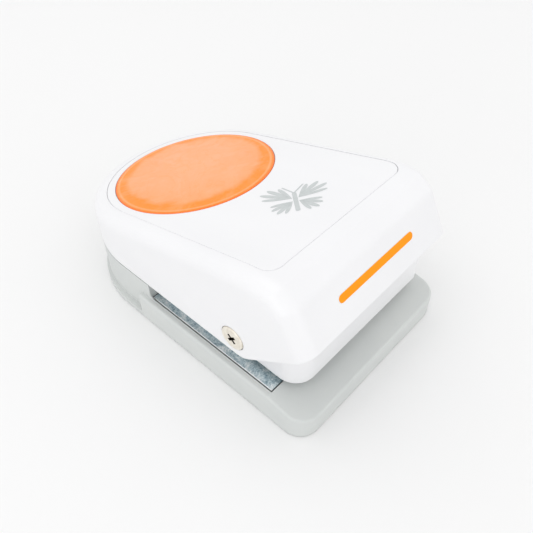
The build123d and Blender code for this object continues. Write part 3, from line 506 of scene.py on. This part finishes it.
def make_palm_pad():
    """Crowned oval gel pad with a soft shoulder, sunk in its seat in the top panel."""
    pad = object_from(pad_mesh(), "palm_pad_gel", make_gel())
    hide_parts("palm_pad")
    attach(pad, "lever")


def object_from(mesh, name, material):
    """New object from a bmesh."""
    data = bpy.data.meshes.new(name)
    mesh.to_mesh(data)
    mesh.free()
    data.materials.append(material)
    piece = bpy.data.objects.new(name, data)
    bpy.context.scene.collection.objects.link(piece)
    return piece


# ---- printed marks ----
PRINT_LIFT = 0.04 * MM
ICON_DEPTH = 39.6 * MM
ICON_SIZE = 10.0 * MM
ICON_TURN = math.radians(43)
# A body and a feeler, as (start, end, width), in units of the icon's size.
ICON_BODY = ((0, -0.62), (0, 0.42), 0.15)
ICON_FEELER = ((0.03, 0.5), (0.34, 0.92), 0.055)
# Each wing: where it grows from, and its petals as (angle in degrees, reach, width).
ICON_WINGS = (
    ((0.10, 0.12), ((64, 0.86, 0.20), (47, 1.10, 0.24), (30, 1.16, 0.24), (13, 1.00, 0.20))),
    ((0.10, -0.06), ((-8, 0.74, 0.18), (-27, 0.80, 0.22), (-47, 0.82, 0.22), (-66, 0.72, 0.18))),
)


def capsule(start, end, width, points=10):
    """Outline of a stroke with round ends, in the plane."""
    start, end = Vector(start), Vector(end)
    along = (end - start).normalized()
    side = Vector((-along.y, along.x))
    outline = []
    for centre, sign in ((start, -1), (end, 1)):
        for k in range(points + 1):
            turn = math.pi * k / points
            offset = side * math.cos(turn) * -sign + along * math.sin(turn) * sign
            outline.append(centre + offset * width / 2)
    return outline


def petal(start, along, reach, width, points=24):
    """Outline of a drop: a point at its start, widest near its far end."""
    side = Vector((-along.y, along.x))
    outline = []
    for k in range(points):
        turn = 2 * math.pi * k / points
        share = (1 - math.cos(turn)) / 2
        spread = math.sin(turn) * share ** 0.6
        outline.append(start + along * reach * share + side * width / 2 * spread)
    return outline


def filled(mesh, outline, place):
    """Flat filled outline."""
    mesh.faces.new([mesh.verts.new(place(p)) for p in outline])


def make_icon():
    """Plain butterfly pictogram printed on the top panel: what the punch cuts."""
    mesh = bmesh.new()

    def place(point):
        turned = Matrix.Rotation(-ICON_TURN, 2) @ point
        return on_top(turned.x * ICON_SIZE, ICON_DEPTH + turned.y * ICON_SIZE, PRINT_LIFT)

    for root, petals in ICON_WINGS:
        for degrees, reach, width in petals:
            for side in (-1, 1):
                angle = math.radians(degrees)
                along = Vector((side * math.cos(angle), math.sin(angle)))
                start = Vector((side * root[0], root[1]))
                filled(mesh, petal(start, along, reach, width), place)
    filled(mesh, capsule(*ICON_BODY), place)
    root, end, width = ICON_FEELER
    for side in (-1, 1):
        filled(mesh, capsule((side * root[0], root[1]), (side * end[0], end[1]), width), place)
    icon = object_from(mesh, "lever_pictogram", make_print("grey_print", (0.58, 0.61, 0.61)))
    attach(icon, "lever")


STRIPE_HALF_LENGTH = 17.6 * MM
STRIPE_WIDTH = 2.8 * MM
# The stripe's middle lies this far up the nose face.
STRIPE_SHARE = 0.54


def make_nose_stripe():
    """Plain orange stripe printed across the nose face."""
    mesh = bmesh.new()
    up = (NOSE_FACE_TOP - NOSE_FACE_FOOT).normalized()
    outward = Vector((0, -up.z, up.y))
    middle = NOSE_FACE_FOOT.lerp(NOSE_FACE_TOP, STRIPE_SHARE)

    def place(point):
        return middle + Vector((point.x, 0, 0)) + up * point.y + outward * PRINT_LIFT

    ends = ((-STRIPE_HALF_LENGTH, 0), (STRIPE_HALF_LENGTH, 0))
    filled(mesh, capsule(*ends, STRIPE_WIDTH, points=16), place)
    stripe = object_from(mesh, "nose_stripe", make_print("orange_print", (1.0, 0.33, 0.0)))
    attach(stripe, "lever")


# ---- studio ----
FLOOR_HALF = 3.0
WORLD_STRENGTH = 1.0
# Name, place, diameter and power of each light.
AREA_LIGHTS = (
    ("overhead_softbox", (-0.25, 0.15, 0.9), 0.8, 1.0),
    ("left_fill", (-0.85, -0.1, 0.22), 0.6, 0.65),
    ("front_fill", (-0.1, -0.9, 0.12), 0.6, 0.6),
    ("right_fill", (0.9, -0.3, 0.3), 0.7, 0.3),
)
LIGHT_AIM = Vector((0, 0, 0.03))


def make_studio():
    """Pale floor, even white surroundings and four soft lights."""
    make_floor()
    world = bpy.data.worlds.new("studio")
    bpy.context.scene.world = world
    world.use_nodes = True
    background = world.node_tree.nodes["Background"]
    background.inputs["Color"].default_value = (1.0, 1.0, 1.0, 1.0)
    background.inputs["Strength"].default_value = WORLD_STRENGTH
    for light in AREA_LIGHTS:
        make_light(*light)


def make_floor():
    """Plain pale floor, which is stage and not part of the object."""
    mesh = bmesh.new()
    corners = [(-1, -1), (1, -1), (1, 1), (-1, 1)]
    mesh.faces.new([mesh.verts.new((x * FLOOR_HALF, y * FLOOR_HALF, 0.0)) for x, y in corners])
    m = Nodes("studio_floor")
    m.set(Base_Color=m.ramp(m.noise(3.0), [(0.3, (0.845, 0.845, 0.845)), (0.7, (0.86, 0.86, 0.86))]))
    m.set(Roughness=0.6)
    object_from(mesh, "studio_floor", m.material)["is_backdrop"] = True


def make_light(name, spot, diameter, power):
    """Round soft light, turned towards the object."""
    data = bpy.data.lights.new(name, "AREA")
    data.shape = "DISK"
    data.size = diameter
    data.energy = power
    light = bpy.data.objects.new(name, data)
    light.location = spot
    light.rotation_mode = "QUATERNION"
    light.rotation_quaternion = (LIGHT_AIM - Vector(spot)).to_track_quat("-Z", "Y")
    bpy.context.scene.collection.objects.link(light)


# ---- camera ----
CAMERA_SPOT = Vector((-0.1157, NOSE_Y - 0.0533, 0.1830))
CAMERA_YAW = math.radians(47.62)
CAMERA_PITCH = math.radians(46.82)
CAMERA_LENS = 40.8
CAMERA_SENSOR = 36.0


def make_camera():
    """Camera above the nose's left corner, looking down along the lever."""
    data = bpy.data.cameras.new("camera")
    data.lens = CAMERA_LENS
    data.sensor_width = CAMERA_SENSOR
    data.clip_start = 0.005
    camera = bpy.data.objects.new("camera", data)
    camera.location = CAMERA_SPOT
    ahead = Vector(
        (
            math.sin(CAMERA_YAW) * math.cos(CAMERA_PITCH),
            math.cos(CAMERA_YAW) * math.cos(CAMERA_PITCH),
            -math.sin(CAMERA_PITCH),
        )
    )
    camera.rotation_mode = "QUATERNION"
    camera.rotation_quaternion = ahead.to_track_quat("-Z", "Y")
    bpy.context.scene.collection.objects.link(camera)
    bpy.context.scene.camera = camera


dress_cad_nodes()
make_palm_pad()
make_icon()
make_nose_stripe()
make_studio()
make_camera()
bpy.context.scene.view_settings.view_transform = "Standard"
